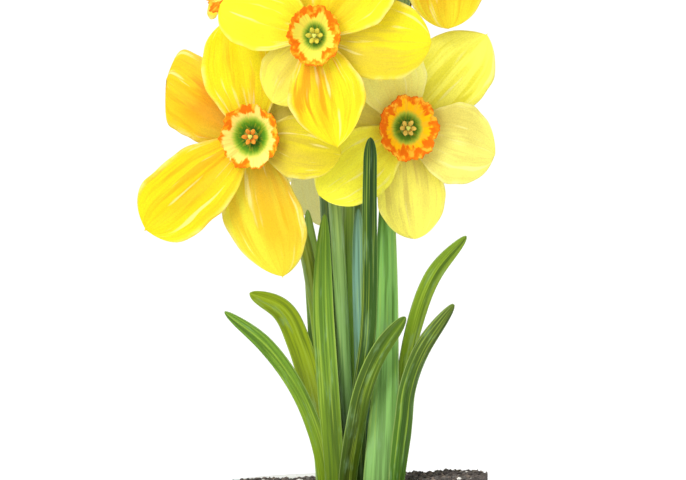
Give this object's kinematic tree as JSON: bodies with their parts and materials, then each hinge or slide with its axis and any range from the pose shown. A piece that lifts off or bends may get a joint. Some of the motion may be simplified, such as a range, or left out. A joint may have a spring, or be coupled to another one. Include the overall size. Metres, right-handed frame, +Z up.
{
  "type": "daffodils in a jar",
  "caption": "Yellow daffodils with small orange coronas and strap leaves, growing in dark soil in a round glazed jar that stands on its flat foot.",
  "frame": {"origin": "centre of the jar's flat foot, on the surface it stands on", "axes": "+Z up, -Y towards the side that the flowers face, +X to the right of someone who looks at that side"},
  "size_m": [0.1649, 0.128, 0.3974],
  "materials": {
    "jar_glaze": "gloss",
    "potting_soil": "matte",
    "petal": "satin",
    "corona": "satin",
    "anther": "matte",
    "stem": "satin",
    "leaf": "satin",
    "sheath": "matte"
  },
  "bodies": {
    "root": {"corona_back": "corona", "corona_left": "corona", "corona_middle": "corona", "corona_right": "corona", "corona_upper_left": "corona", "corona_upper_right": "corona", "jar": "jar_glaze", "leaf_back_left": "leaf", "leaf_back_middle": "leaf", "leaf_back_right": "leaf", "leaf_front_cross": "leaf", "leaf_front_tall": "leaf", "leaf_left_broad": "leaf", "leaf_left_high": "leaf", "leaf_left_low": "leaf", "leaf_left_pale": "leaf", "leaf_middle_slim": "leaf", "leaf_right_broad": "leaf", "leaf_right_high": "leaf", "leaf_right_low": "leaf", "petals_back": "petal", "petals_left": "petal", "petals_middle": "petal", "petals_right": "petal", "petals_upper_left": "petal", "petals_upper_right": "petal", "sheath_back": "sheath", "sheath_left": "sheath", "sheath_middle": "sheath", "sheath_right": "sheath", "sheath_upper_left": "sheath", "sheath_upper_right": "sheath", "soil": "potting_soil", "stamens_back": "anther", "stamens_left": "anther", "stamens_middle": "anther", "stamens_right": "anther", "stamens_upper_left": "anther", "stamens_upper_right": "anther", "stem_back": "stem", "stem_left": "stem", "stem_middle": "stem", "stem_right": "stem", "stem_upper_left": "stem", "stem_upper_right": "stem"}
  },
  "joints": []
}
